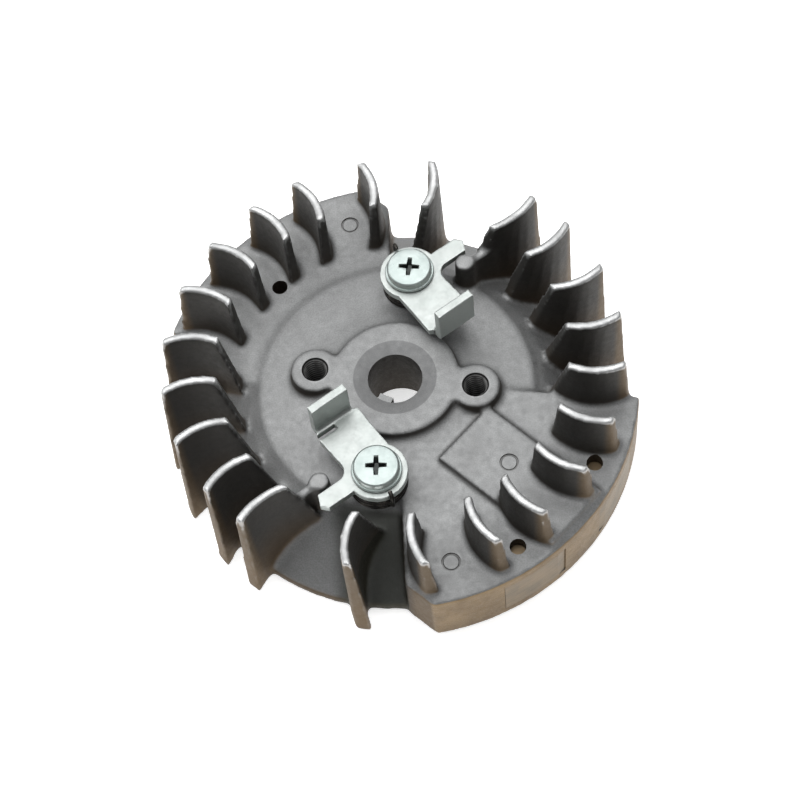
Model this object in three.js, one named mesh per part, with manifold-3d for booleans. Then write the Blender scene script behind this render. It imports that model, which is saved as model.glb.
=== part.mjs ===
// Fan flywheel of a small two-stroke engine. A die-cast wheel carries 22 curved
// blades, a cast-in magnet between two laminated pole shoes, and two spring-held
// starter pawls on shoulder screws.
// Millimetres, +Z up along the crankshaft axis. The origin is where the axis
// meets the rear face, and +X runs through one of the two puller holes.
import * as THREE from 'three';
import { mergeVertices } from 'three/addons/utils/BufferGeometryUtils.js';
import Module from 'manifold-3d';

const wasm = await Module();
wasm.setup();

// ---- driving dimensions: the wheel ----
const RIM_RADIUS = 48;            // machined outside of the magnet and counterweight sectors
const BLADE_TIP_HEIGHT = 27.4;    // blade tips above the rear face
const BLADE_INNER_RADIUS = 34;    // inner corner of a blade at its tip
const BLADE_OUTER_RADIUS = 45;    // outer corner of a blade at its tip
const BLADE_DRAFT = 1.8;          // how far the outer edge leans out down to the rear face
const BLADE_TIP_THICKNESS = 1.8;
const BLADE_FOOT_THICKNESS = 3.3; // casting draft makes the foot thicker
const BLADE_BOW = 1.2;            // how far the middle of a blade leaves its chord
const VALLEY_FOOT_RADIUS = 30.6;  // a blade in a valley reaches in to the shoulder
const SECTOR_FOOT_RADIUS = 32.4;  // a blade on a sector stands steeper

const DISC_RADIUS = 42.2;         // plain disc between the two sectors
const DISC_EDGE_HEIGHT = 2.4;
const SHOULDER_RADIUS = 29.4;     // where the dome breaks down to the valleys
const SHOULDER_HEIGHT = 12.4;
const DOME_EDGE_RADIUS = 27.4;
const DOME_EDGE_HEIGHT = 13.7;
const DOME_STEP = { out: 0.9, down: 0.9 }; // the dome's edge drops to the shoulder in a small step
const DOME_HEIGHT = 14.6;         // dome surface where it starts to rise to the hub
const DOME_RISE_RADIUS = 18;
const HUB_FOOT_HEIGHT = 15.6;     // dome surface next to the hub

const HUB_HEIGHT = 17.4;
const HUB_RADIUS = 12.7;

// profile of the front of the wheel, from the disc's edge in to the axis
const DOME_TOP = [
  [DISC_RADIUS, DISC_EDGE_HEIGHT],
  [SHOULDER_RADIUS, SHOULDER_HEIGHT],
  [DOME_EDGE_RADIUS + DOME_STEP.out, DOME_EDGE_HEIGHT - DOME_STEP.down],
  [DOME_EDGE_RADIUS, DOME_EDGE_HEIGHT],
  [DOME_RISE_RADIUS, DOME_HEIGHT],
  [HUB_RADIUS, HUB_FOOT_HEIGHT],
  [0, HUB_FOOT_HEIGHT],
];

const SEAT_RADIUS = 8.2;          // coned seat for the nut washer
const SEAT_DEPTH = 0.7;
const BORE_TOP_RADIUS = 5.35;     // tapered bore, wider towards the engine
const BORE_REAR_RADIUS = 6.8;
const KEY_ANGLE = -107;           // cast key in the bore
const KEY_WIDTH = 2.8;
const KEY_RISE = 1.5;

const PULLER_RADIUS = 16;         // the two threaded puller holes
const PULLER_BOSS_RADIUS = 4.9;
const PULLER_HOLE_RADIUS = 2.5;

const MAGNET_SECTOR = { from: -79.5, to: 2.8, rimTo: 2.8, height: 14.7, inner: 17 };
const WEIGHT_SECTOR = { from: 100.5, to: 184, rimTo: 171, height: 13.1, inner: 26 };
const SECTOR_CORNER = 6.2;        // the leading corner of each sector is cut back, degrees
const PAD_ANGLE = -33.5;          // raised pad over the magnet
const PAD_HALF_WIDTH = 7.4;
const PAD_FROM = 17.8;
const PAD_TO = 46.2;
const PAD_HEIGHT = 16;

// inner and outer angle of each blade of one half turn, where it stands, and how far
// its foot is set over from its tip
const BLADES = [
  { inner: -92.9, outer: -92.1, foot: 'valley', lean: 0.4 },
  { inner: -75.3, outer: -73.6, foot: 'sector', lean: 0.3 },
  { inner: -57.2, outer: -55.6, foot: 'sector', lean: 0.3 },
  { inner: -43.9, outer: -42.4, foot: 'sector', lean: 0.3 },
  { inner: -28.8, outer: -27.3, foot: 'sector', lean: 0.3 },
  { inner: -13.3, outer: -12.7, foot: 'sector', lean: 0.3 },
  { inner: 1.5, outer: 3.0, foot: 'valley', lean: 0.4 },
  { inner: 16.4, outer: 17.2, foot: 'valley', lean: 1.0 },
  { inner: 31.6, outer: 31.7, foot: 'valley', lean: 1.1 },
  { inner: 46.7, outer: 47.2, foot: 'valley', lean: 1.0 },
  { inner: 62.5, outer: 59.0, foot: 'valley', lean: 0.4 },
];
const HALF_TURN = 180;            // everything but the magnet repeats after half a turn

// ---- driving dimensions: hollow rear ----
const HOLLOW_INNER_RADIUS = 14;
const HOLLOW_OUTER_RADIUS = 38.4;
const HOLLOW_ROOF_RADIUS = 25.5;
const HOLLOW_ROOF_HEIGHT = 9.2;
const REAR_RIB_THICKNESS = 2.4;
const REAR_RIB_HEIGHT = 5;
const REAR_RIB_ANGLES = [32, 62, 92, 212, 242, 272];

// ---- driving dimensions: magnet and pole shoes ----
const MAGNET_HALF_WIDTH = 5;
const MAGNET_INNER = 33.5;
const MAGNET_OUTER = 44;
const STACK_BOTTOM = 2.6;
const LAMINATION_THICKNESS = 1.6;
const LAMINATION_COUNT = 6;
const SHOE_FROM = 8.5;            // angles of a shoe at the rim, from the pad's centre line
const SHOE_TO = 23;
const SHOE_DEPTH = 5.2;
const POCKET_GAP = 0.08;          // cast metal to insert
const SHOE_HOLE_RADIUS = 1.6;
const SHOE_HOLE_AT = { radius: 42.8, angle: 15.5 };
const RIVET_RADIUS = 1.5;

// ---- driving dimensions: pawls ----
const PIVOT_RADIUS = 22.2;
const PAWL_ANGLE = -45.3;         // arm direction at rest
const PAWL_BOTTOM = 19;
const PAWL_THICKNESS = 1.7;
const PAWL_END_RADIUS = 6;
const ARM_LEFT = -5.07;
const ARM_RIGHT = 4.6;
const ARM_LENGTH = 13.25;
const LUG_INNER = 14.16;
const LUG_LEFT = -4.1;
const LUG_RIGHT = 4.3;
const LUG_TOP = 28;
const SLOT = { from: 12.1, to: 13.2, end: 0.6 };
const TAIL = { low: -0.8, high: 2.8, length: 12.9, corner: 2.2 };
const THROAT_RADIUS = 2.4;         // rounded corner between arm and tail
const PAWL_HOLE_RADIUS = 3.15;
const STOP_POST = { along: 5.05, across: 10, radius: 2, height: 21 };
const STOP_WALL = { height: 20.4, thickness: 2 };

const BOSS_RADIUS = 4.4;          // cast boss that the spring sits round
const BOSS_HEIGHT = 18.1;
const SCREW_HEAD_RADIUS = 4.9;
const SCREW_HEAD_BOTTOM = 20.9;
const SCREW_HEAD_HEIGHT = 2.1;
const SHOULDER_SCREW_RADIUS = 3;
const SCREW_SHANK_RADIUS = 2.4;
const SCREW_TIP = 6;
const WASHER = { inner: 3.4, outer: 5.1, bottom: 18.3, top: 18.8 };
const SPRING = { coilRadius: 5.3, wire: 0.42, bottom: 15.2, turns: 3, pitch: 0.86 };

const ROUND = 72;                 // facets round the wheel

// ---- helpers ----
const radians = THREE.MathUtils.degToRad;

function polar(radius, angle) {
  return new THREE.Vector2(radius * Math.cos(radians(angle)), radius * Math.sin(radians(angle)));
}

function solid(geometry) {
  const bare = geometry.clone();
  bare.deleteAttribute('normal');
  bare.deleteAttribute('uv');
  const merged = mergeVertices(bare, 1e-4);
  const corners = merged.index.array;
  const triangles = [];
  for (let i = 0; i < corners.length; i += 3) {
    const [a, b, c] = [corners[i], corners[i + 1], corners[i + 2]];
    if (a !== b && b !== c && c !== a) triangles.push(a, b, c);
  }
  const mesh = new wasm.Mesh({
    numProp: 3,
    vertProperties: new Float32Array(merged.attributes.position.array),
    triVerts: new Uint32Array(triangles),
  });
  return new wasm.Manifold(mesh);
}

function geometryOf(body) {
  const mesh = body.getMesh();
  const geometry = new THREE.BufferGeometry();
  geometry.setAttribute('position', new THREE.BufferAttribute(mesh.vertProperties, 3));
  geometry.setIndex(new THREE.BufferAttribute(mesh.triVerts, 1));
  geometry.computeVertexNormals();
  return geometry;
}

function slab(shape, low, high, curveSegments = 12) {
  const depth = high - low;
  const geometry = new THREE.ExtrudeGeometry(shape, { depth, bevelEnabled: false, curveSegments });
  return solid(geometry.translate(0, 0, low));
}

function rod(radius, low, high, at = new THREE.Vector2(), facets = 20, topRadius = radius) {
  const geometry = new THREE.CylinderGeometry(topRadius, radius, high - low, facets);
  geometry.rotateX(Math.PI / 2);
  return solid(geometry.translate(at.x, at.y, (high + low) / 2));
}

function turned(profile, facets) {
  const points = profile.map(([radius, height]) => new THREE.Vector2(radius, height));
  return solid(new THREE.LatheGeometry(points, facets).rotateX(Math.PI / 2));
}

function sectorShape(inner, outer, from, to, steps = 26) {
  const shape = new THREE.Shape();
  shape.moveTo(...polar(inner, from).toArray());
  for (let i = 0; i <= steps; i += 1) {
    shape.lineTo(...polar(outer, from + ((to - from) * i) / steps).toArray());
  }
  for (let i = steps; i > 0; i -= 1) {
    shape.lineTo(...polar(inner, from + ((to - from) * i) / steps).toArray());
  }
  return shape;
}

function barShape(from, to, halfWidth, angle) {
  const along = polar(1, angle);
  const across = polar(halfWidth, angle + 90);
  const corner = (distance, side) => along.clone().multiplyScalar(distance).addScaledVector(across, side);
  return new THREE.Shape([corner(from, -1), corner(to, -1), corner(to, 1), corner(from, 1)]);
}

// ---- the casting ----
function dome() {
  return turned([
    [0, 0],
    [HOLLOW_INNER_RADIUS - 0.8, 0],
    [HOLLOW_INNER_RADIUS, HOLLOW_ROOF_HEIGHT],
    [HOLLOW_ROOF_RADIUS, HOLLOW_ROOF_HEIGHT],
    [HOLLOW_OUTER_RADIUS, 0],
    [DISC_RADIUS, 0],
    ...DOME_TOP,
  ], ROUND);
}

function sector({ from, to, rimTo, height, inner }) {
  const inside = slab(sectorShape(inner, BLADE_OUTER_RADIUS - 2, from, to), 0, height);
  const rim = slab(sectorShape(BLADE_OUTER_RADIUS - 3, RIM_RADIUS, from + SECTOR_CORNER, rimTo), 0, height);
  const corner = new THREE.Shape([
    polar(BLADE_OUTER_RADIUS - 4, from),
    polar(BLADE_OUTER_RADIUS - 2, from),
    polar(RIM_RADIUS, from + SECTOR_CORNER),
    polar(BLADE_OUTER_RADIUS - 4, from + SECTOR_CORNER),
  ]);
  return inside.add(rim).add(slab(corner, 0, height));
}

// A blade is a unit box bent to shape: x runs outwards, y across, z from foot to tip.
function blade({ inner, outer, foot, lean }, turn) {
  const box = new THREE.BoxGeometry(1, 1, 1, 6, 1, 1).translate(0.5, 0, 0.5);
  const place = box.attributes.position;
  const footRadius = foot === 'valley' ? VALLEY_FOOT_RADIUS : SECTOR_FOOT_RADIUS;
  for (let i = 0; i < place.count; i += 1) {
    const [u, side, rise] = [place.getX(i), place.getY(i), place.getZ(i)];
    const footHeight = WEIGHT_SECTOR.height - 1;
    const drop = (BLADE_TIP_HEIGHT / (BLADE_TIP_HEIGHT - footHeight)) * (1 - rise);
    const innerRadius = BLADE_INNER_RADIUS - (BLADE_INNER_RADIUS - footRadius) * drop;
    const outerRadius = BLADE_OUTER_RADIUS + BLADE_DRAFT * (1 - rise);
    const radius = THREE.MathUtils.lerp(innerRadius, outerRadius, u);
    const share = (radius - BLADE_INNER_RADIUS) / (BLADE_OUTER_RADIUS - BLADE_INNER_RADIUS);
    const angle = THREE.MathUtils.lerp(inner, outer, share) + turn;
    const bow = -BLADE_BOW * (1 - (2 * share - 1) ** 2);
    const thickness = THREE.MathUtils.lerp(BLADE_FOOT_THICKNESS, BLADE_TIP_THICKNESS, rise);
    const across = bow + side * thickness + lean * (1 - rise);
    const point = polar(radius, angle).addScaledVector(polar(1, angle + 90), across);
    place.setXYZ(i, point.x, point.y, rise * BLADE_TIP_HEIGHT);
  }
  return solid(box);
}

function pawlPoint(along, across) {
  const point = polar(along, PAWL_ANGLE).add(polar(across, PAWL_ANGLE + 90));
  return point.add(new THREE.Vector2(0, PIVOT_RADIUS));
}

function pawlStation() {
  const pivot = new THREE.Vector2(0, PIVOT_RADIUS);
  const post = pawlPoint(STOP_POST.along, STOP_POST.across);
  const lastBlade = BLADES[BLADES.length - 1];
  const root = polar(BLADE_INNER_RADIUS, lastBlade.inner);
  const side = root.clone().sub(post).rotateAround(new THREE.Vector2(), Math.PI / 2);
  side.setLength(STOP_WALL.thickness / 2);
  const wall = new THREE.Shape([
    post.clone().sub(side), root.clone().sub(side), root.clone().add(side), post.clone().add(side),
  ]);
  return rod(BOSS_RADIUS + 0.4, DOME_EDGE_HEIGHT - 2, BOSS_HEIGHT, pivot, 24, BOSS_RADIUS)
    .add(rod(STOP_POST.radius + 0.3, DOME_EDGE_HEIGHT - 3, STOP_POST.height, post, 20, STOP_POST.radius))
    .add(slab(wall, SHOULDER_HEIGHT - 3, STOP_WALL.height));
}

function rearRibs() {
  const room = turned([[0, 0], [DISC_RADIUS, 0], ...DOME_TOP], ROUND);
  return REAR_RIB_ANGLES.map((angle) => slab(
    barShape(HOLLOW_INNER_RADIUS - 2, HOLLOW_OUTER_RADIUS + 1, REAR_RIB_THICKNESS / 2, angle),
    HOLLOW_ROOF_HEIGHT - REAR_RIB_HEIGHT - 3, HOLLOW_ROOF_HEIGHT + 0.5,
  ).intersect(room));
}

function halfTurned(body) {
  return body.rotate([0, 0, HALF_TURN]);
}

function wheel() {
  const boss = rod(PULLER_BOSS_RADIUS + 0.3, 8, HUB_HEIGHT, polar(PULLER_RADIUS, 0), 28, PULLER_BOSS_RADIUS);
  const station = pawlStation();
  const pieces = [
    sector(MAGNET_SECTOR),
    sector(WEIGHT_SECTOR),
    slab(barShape(PAD_FROM, PAD_TO, PAD_HALF_WIDTH, PAD_ANGLE), MAGNET_SECTOR.height - 3, PAD_HEIGHT),
    rod(HUB_RADIUS + 0.4, 6, HUB_HEIGHT, new THREE.Vector2(), ROUND, HUB_RADIUS),
    boss,
    halfTurned(boss),
    station,
    halfTurned(station),
    ...rearRibs(),
    ...BLADES.map((row) => blade(row, 0)),
    ...BLADES.map((row) => blade(row, HALF_TURN)),
  ];
  return pieces.reduce((body, piece) => body.add(piece), dome());
}

function bore() {
  const over = 1;
  const slope = (BORE_REAR_RADIUS - BORE_TOP_RADIUS) / HUB_HEIGHT;
  const taper = rod(BORE_REAR_RADIUS + slope, -over, HUB_HEIGHT + over, new THREE.Vector2(), 48,
    BORE_TOP_RADIUS - slope);
  const seat = rod(BORE_TOP_RADIUS, HUB_HEIGHT - SEAT_DEPTH, HUB_HEIGHT + 0.001, new THREE.Vector2(), 48,
    SEAT_RADIUS);
  return taper.add(seat);
}

function boreKey() {
  const ring = barShape(BORE_TOP_RADIUS - KEY_RISE, BORE_REAR_RADIUS + 1, KEY_WIDTH / 2, KEY_ANGLE);
  return slab(ring, 0, HUB_HEIGHT - SEAT_DEPTH - 0.5);
}

function casting() {
  const puller = rod(PULLER_HOLE_RADIUS, -1, HUB_HEIGHT + 1, polar(PULLER_RADIUS, 0), 20);
  const screwHole = rod(SCREW_SHANK_RADIUS + 0.15, SCREW_TIP - 1, BOSS_HEIGHT + 1,
    new THREE.Vector2(0, PIVOT_RADIUS), 20);
  const weightHole = rod(SHOE_HOLE_RADIUS, 6, BLADE_TIP_HEIGHT, polar(34, 143), 16);
  const cuts = [bore(), puller, halfTurned(puller), screwHole, halfTurned(screwHole), weightHole, pocket()];
  const cut = cuts.reduce((body, piece) => body.subtract(piece), wheel());
  return cut.add(boreKey());
}

// ---- magnet and pole shoes, drawn with the pad's centre line along +X ----
function shoeShape(side, gap) {
  const shape = new THREE.Shape();
  const edge = MAGNET_HALF_WIDTH + 0.15 - gap;
  const inner = RIM_RADIUS - SHOE_DEPTH - 4;
  const steps = 6;
  const from = SHOE_FROM - gap;
  const to = SHOE_TO + gap * 1.5;
  shape.moveTo(inner - gap, side * edge);
  shape.lineTo(polar(RIM_RADIUS, from).x, side * edge);
  for (let i = 0; i <= steps; i += 1) {
    const point = polar(RIM_RADIUS + (gap > 0 ? 1 : 0), from + ((to - from) * i) / steps);
    shape.lineTo(point.x, side * point.y);
  }
  const back = polar(RIM_RADIUS - SHOE_DEPTH - gap, to);
  shape.lineTo(back.x, side * back.y);
  return shape;
}

function shoeHole() {
  return polar(SHOE_HOLE_AT.radius, SHOE_HOLE_AT.angle);
}

function atMagnet(body) {
  return body.rotate([0, 0, PAD_ANGLE]);
}

function pocket() {
  const top = STACK_BOTTOM + LAMINATION_THICKNESS * LAMINATION_COUNT;
  const magnetRoom = slab(
    barShape(MAGNET_INNER - POCKET_GAP, MAGNET_OUTER + POCKET_GAP, MAGNET_HALF_WIDTH + 0.2, 0),
    STACK_BOTTOM - POCKET_GAP, top + POCKET_GAP);
  const rooms = [-1, 1].map((side) => slab(
    shoeShape(side, POCKET_GAP), STACK_BOTTOM - POCKET_GAP, top + POCKET_GAP));
  const holes = [-1, 1].map((side) => {
    const at = shoeHole();
    return rod(SHOE_HOLE_RADIUS, top, PAD_HEIGHT + 1, new THREE.Vector2(at.x, side * at.y), 16);
  });
  return atMagnet(magnetRoom.add(rooms[0]).add(rooms[1]).add(holes[0]).add(holes[1]));
}

function magnet() {
  const top = STACK_BOTTOM + LAMINATION_THICKNESS * LAMINATION_COUNT;
  return atMagnet(slab(barShape(MAGNET_INNER, MAGNET_OUTER, MAGNET_HALF_WIDTH, 0), STACK_BOTTOM, top));
}

function lamination(side, index) {
  const low = STACK_BOTTOM + index * LAMINATION_THICKNESS;
  const at = shoeHole();
  const hole = rod(SHOE_HOLE_RADIUS, low - 1, low + LAMINATION_THICKNESS + 1,
    new THREE.Vector2(at.x, side * at.y), 16);
  return atMagnet(slab(shoeShape(side, 0), low, low + LAMINATION_THICKNESS).subtract(hole));
}

function shoeRivet(side) {
  const top = STACK_BOTTOM + LAMINATION_THICKNESS * LAMINATION_COUNT;
  const at = shoeHole();
  return atMagnet(rod(RIVET_RADIUS, STACK_BOTTOM, top, new THREE.Vector2(at.x, side * at.y), 16));
}

// ---- pawl, drawn with its pivot at the origin and its arm along +X ----
function pawlShape() {
  const shape = new THREE.Shape();
  const meet = Math.sqrt(PAWL_END_RADIUS ** 2 - ARM_LEFT ** 2);
  shape.moveTo(meet, ARM_LEFT);
  shape.lineTo(ARM_LENGTH, ARM_LEFT);
  shape.lineTo(ARM_LENGTH + 0.6, LUG_LEFT);
  shape.lineTo(ARM_LENGTH + 0.6, LUG_RIGHT);
  shape.lineTo(SLOT.to, LUG_RIGHT + 0.5);
  shape.lineTo(SLOT.to, SLOT.end);
  shape.lineTo(SLOT.from, SLOT.end);
  shape.lineTo(SLOT.from, ARM_RIGHT + 0.3);
  shape.absarc(TAIL.high + THROAT_RADIUS, ARM_RIGHT + THROAT_RADIUS, THROAT_RADIUS,
    -Math.PI / 2, -Math.PI, true);
  shape.lineTo(TAIL.high, TAIL.length - 1);
  shape.lineTo(TAIL.high - TAIL.corner, TAIL.length);
  shape.lineTo(TAIL.low, TAIL.length - 1.2);
  const tailMeets = Math.PI - Math.acos(-TAIL.low / PAWL_END_RADIUS);
  const armMeets = Math.PI * 2 - Math.acos(meet / PAWL_END_RADIUS);
  shape.absarc(0, 0, PAWL_END_RADIUS, tailMeets, armMeets, false);
  return shape;
}

function pawl() {
  const plate = slab(pawlShape(), PAWL_BOTTOM, PAWL_BOTTOM + PAWL_THICKNESS, 10);
  const bend = 1.2;
  const lugProfile = new THREE.Shape();
  const outer = LUG_INNER + PAWL_THICKNESS;
  lugProfile.moveTo(ARM_LENGTH, PAWL_BOTTOM);
  lugProfile.lineTo(outer - bend, PAWL_BOTTOM);
  lugProfile.absarc(outer - bend, PAWL_BOTTOM + bend, bend, -Math.PI / 2, 0, false);
  lugProfile.lineTo(outer, LUG_TOP);
  lugProfile.lineTo(LUG_INNER, LUG_TOP);
  lugProfile.lineTo(LUG_INNER, PAWL_BOTTOM + PAWL_THICKNESS);
  lugProfile.lineTo(ARM_LENGTH, PAWL_BOTTOM + PAWL_THICKNESS);
  const lug = new THREE.ExtrudeGeometry(lugProfile, {
    depth: LUG_RIGHT - LUG_LEFT, bevelEnabled: false, curveSegments: 4,
  });
  lug.rotateX(Math.PI / 2).translate(0, LUG_RIGHT, 0);
  return plate.add(solid(lug)).subtract(rod(PAWL_HOLE_RADIUS, 0, LUG_TOP, new THREE.Vector2(), 28));
}

// ---- screw, washer and spring, drawn on the pivot axis ----
function screw() {
  const top = SCREW_HEAD_BOTTOM + SCREW_HEAD_HEIGHT;
  const body = turned([
    [0, SCREW_TIP],
    [SCREW_SHANK_RADIUS - 0.4, SCREW_TIP],
    [SCREW_SHANK_RADIUS, SCREW_TIP + 0.5],
    [SCREW_SHANK_RADIUS, BOSS_HEIGHT + 0.1],
    [SHOULDER_SCREW_RADIUS, BOSS_HEIGHT + 0.1],
    [SHOULDER_SCREW_RADIUS, SCREW_HEAD_BOTTOM],
    [SCREW_HEAD_RADIUS, SCREW_HEAD_BOTTOM],
    [SCREW_HEAD_RADIUS, top - 0.5],
    [SCREW_HEAD_RADIUS - 0.5, top - 0.1],
    [0, top],
  ], 32);
  const arm = new THREE.BoxGeometry(4.6, 1, 3);
  const recess = solid(arm.clone().translate(0, 0, top))
    .add(solid(arm.rotateZ(Math.PI / 2).translate(0, 0, top)))
    .add(rod(0.6, top - 1.8, top + 1, new THREE.Vector2(), 12, 1.4));
  return body.subtract(recess);
}

function washer() {
  return turned([
    [WASHER.inner, WASHER.bottom],
    [WASHER.outer, WASHER.bottom],
    [WASHER.outer, WASHER.top],
    [WASHER.inner, WASHER.top],
    [WASHER.inner, WASHER.bottom],
  ], 32);
}

class SpringCurve extends THREE.Curve {
  getPoint(t) {
    const angle = Math.PI * 2 * SPRING.turns * t;
    const height = SPRING.bottom + SPRING.pitch * SPRING.turns * t;
    return new THREE.Vector3(
      SPRING.coilRadius * Math.cos(angle), SPRING.coilRadius * Math.sin(angle), height);
  }
}

function spring() {
  const section = new THREE.Shape();
  section.absarc(0, 0, SPRING.wire, 0, Math.PI * 2, false);
  return solid(new THREE.ExtrudeGeometry(section, {
    steps: 14 * SPRING.turns, curveSegments: 4, extrudePath: new SpringCurve(), bevelEnabled: false,
  }));
}

// ---- materials ----
const finishes = {
  castAluminium: new THREE.MeshStandardMaterial({ color: 0x8b8b89, roughness: 0.6, metalness: 0.75 }),
  zincSteel: new THREE.MeshStandardMaterial({ color: 0xd4d8d6, roughness: 0.3, metalness: 0.9 }),
  springSteel: new THREE.MeshStandardMaterial({ color: 0x3a3834, roughness: 0.45, metalness: 0.9 }),
  laminationSteel: new THREE.MeshStandardMaterial({ color: 0x6f6459, roughness: 0.5, metalness: 0.85 }),
  magnetCeramic: new THREE.MeshStandardMaterial({ color: 0x2b2b2d, roughness: 0.7, metalness: 0.2 }),
};

// ---- the assembly ----
const flywheel = new THREE.Group();

function addPiece(parent, name, body, finish) {
  const mesh = new THREE.Mesh(geometryOf(body), finish);
  mesh.name = name;
  parent.add(mesh);
  return mesh;
}

addPiece(flywheel, 'flywheel_casting', casting(), finishes.castAluminium);
addPiece(flywheel, 'ignition_magnet', magnet(), finishes.magnetCeramic);
[['leading', -1], ['trailing', 1]].forEach(([name, side]) => {
  for (let i = 0; i < LAMINATION_COUNT; i += 1) {
    addPiece(flywheel, `${name}_pole_lamination_${i + 1}`, lamination(side, i), finishes.laminationSteel);
  }
  addPiece(flywheel, `${name}_pole_rivet`, shoeRivet(side), finishes.laminationSteel);
});

[1, 2].forEach((number) => {
  const half = new THREE.Group();
  half.rotation.z = number === 1 ? 0 : Math.PI;
  const pivot = new THREE.Group();
  pivot.position.set(0, PIVOT_RADIUS, 0);
  half.add(pivot);
  flywheel.add(half);
  const pawlMesh = addPiece(pivot, `starter_pawl_${number}`, pawl(), finishes.zincSteel);
  pawlMesh.rotation.z = radians(PAWL_ANGLE);
  addPiece(pivot, `pawl_screw_${number}`, screw(), finishes.zincSteel);
  addPiece(pivot, `pawl_washer_${number}`, washer(), finishes.zincSteel);
  addPiece(pivot, `pawl_spring_${number}`, spring(), finishes.springSteel);
});

export default flywheel;
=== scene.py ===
# %% [markdown]
# # A fan flywheel with two starter pawls
#
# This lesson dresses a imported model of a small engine's flywheel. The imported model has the
# right sizes and the right joints, but its faces are flat and its edges are knife sharp.
# Each cell takes one real piece or one real finish, and makes it look as a foundry, a press
# or a lathe would leave it. Sizes are in millimetres, and helpers turn them into metres.

# %% Load the frame
import bmesh
import bpy
import math
import numpy as np
from mathutils import Matrix, Vector


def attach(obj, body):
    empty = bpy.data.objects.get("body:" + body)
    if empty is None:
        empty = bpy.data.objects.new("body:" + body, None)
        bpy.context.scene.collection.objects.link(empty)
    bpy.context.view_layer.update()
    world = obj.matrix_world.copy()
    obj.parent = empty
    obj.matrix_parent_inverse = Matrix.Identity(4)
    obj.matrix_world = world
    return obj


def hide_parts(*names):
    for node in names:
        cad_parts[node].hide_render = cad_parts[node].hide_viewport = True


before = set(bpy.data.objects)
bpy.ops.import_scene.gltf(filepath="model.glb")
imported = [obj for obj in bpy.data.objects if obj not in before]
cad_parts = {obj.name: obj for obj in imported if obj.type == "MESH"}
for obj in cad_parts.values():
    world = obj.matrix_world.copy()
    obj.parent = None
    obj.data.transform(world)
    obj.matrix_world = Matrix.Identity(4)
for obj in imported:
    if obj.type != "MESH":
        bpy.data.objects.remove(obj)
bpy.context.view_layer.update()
MM = 0.001

# %% [markdown]
# ## Camera
#
# The camera looks down on the wheel from the front, a little from one side, and is rolled
# a few degrees. It is built up as a photographer would set it: stand at a bearing, raise the
# tripod, roll the body, then pan until the hub sits where it should. A fairly long lens keeps
# the circle of the wheel from stretching.

# %% Set the camera
CAMERA_BEARING = math.radians(15.6)
CAMERA_ELEVATION = math.radians(61.694)
CAMERA_ROLL = math.radians(-8.357)
CAMERA_DISTANCE = 400.516
CAMERA_PAN = (1.011, -4.561)
AIM_HEIGHT = 17.4
LENS = 91.59
SENSOR = 36


def place_camera():
    """Aim a rolled camera at the top of the hub and pan it."""
    forward = Vector((0, math.cos(CAMERA_ELEVATION), -math.sin(CAMERA_ELEVATION)))
    right = Vector((1, 0, 0))
    up = right.cross(forward)
    rolled_right = math.cos(CAMERA_ROLL) * right + math.sin(CAMERA_ROLL) * up
    rolled_up = math.cos(CAMERA_ROLL) * up - math.sin(CAMERA_ROLL) * right
    pan_right, pan_up = CAMERA_PAN
    place = rolled_right * pan_right + rolled_up * pan_up - forward * CAMERA_DISTANCE
    turn = Matrix.Rotation(CAMERA_BEARING, 4, "Z")
    place = turn @ place + Vector((0, 0, AIM_HEIGHT))
    axes = [(turn @ axis).normalized() for axis in (rolled_right, rolled_up, -forward)]
    camera = bpy.data.objects.new("camera", bpy.data.cameras.new("camera"))
    camera.data.sensor_width = SENSOR
    camera.data.lens = LENS
    camera.data.clip_start = 0.01
    camera.matrix_world = Matrix.Translation(place * MM) @ Matrix(axes).transposed().to_4x4()
    bpy.context.collection.objects.link(camera)
    bpy.context.scene.camera = camera
    return camera


camera = place_camera()
print("camera at", [round(v, 3) for v in camera.matrix_world.translation])

# %% [markdown]
# ## Mesh helpers
#
# Most pieces start in one of four ways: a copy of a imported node, a turned profile, a flat
# outline given a thickness, or the union of several of these. Tools that cut a piece are made
# in the same ways. A Boolean modifier with the manifold solver is quick and gives closed
# meshes, as long as what goes in is closed too.

# %% Turned, flat and copied meshes
ROUND = 96


def new_piece(name, points, faces):
    """Make an object from points in millimetres."""
    mesh = bpy.data.meshes.new(name)
    mesh.from_pydata([[v * MM for v in point] for point in points], [], faces)
    mesh.update()
    piece = bpy.data.objects.new(name, mesh)
    bpy.context.collection.objects.link(piece)
    return piece


def loft(name, rings):
    """Join rings of equal length into a closed skin with a flat cap at each end."""
    count = len(rings[0])
    points = [point for ring in rings for point in ring]
    faces = [list(range(count))[::-1], list(range(len(points) - count, len(points)))]
    for row in range(len(rings) - 1):
        for i in range(count):
            low, high = row * count, (row + 1) * count
            j = (i + 1) % count
            faces.append([low + i, low + j, high + j, high + i])
    return new_piece(name, points, faces)


def turned(name, profile, steps=ROUND, at=(0, 0)):
    """Turn (radius, height) pairs, lowest first, about an upright axis."""
    angles = [2 * math.pi * i / steps for i in range(steps)]
    rings = [[(at[0] + r * math.cos(a), at[1] + r * math.sin(a), z) for a in angles]
             for r, z in profile]
    return loft(name, rings)


def slab(name, outline, low, high):
    """Give a flat outline, drawn anticlockwise, a thickness."""
    return loft(name, [[(x, y, z) for x, y in outline] for z in (low, high)])


def copy_of(*nodes, name):
    """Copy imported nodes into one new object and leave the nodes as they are."""
    work = bmesh.new()
    for node in nodes:
        work.from_mesh(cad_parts[node].data)
    bmesh.ops.remove_doubles(work, verts=work.verts, dist=0.001 * MM)
    mesh = bpy.data.meshes.new(name)
    work.to_mesh(mesh)
    work.free()
    mesh.materials.clear()
    piece = bpy.data.objects.new(name, mesh)
    bpy.context.collection.objects.link(piece)
    return piece


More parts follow.
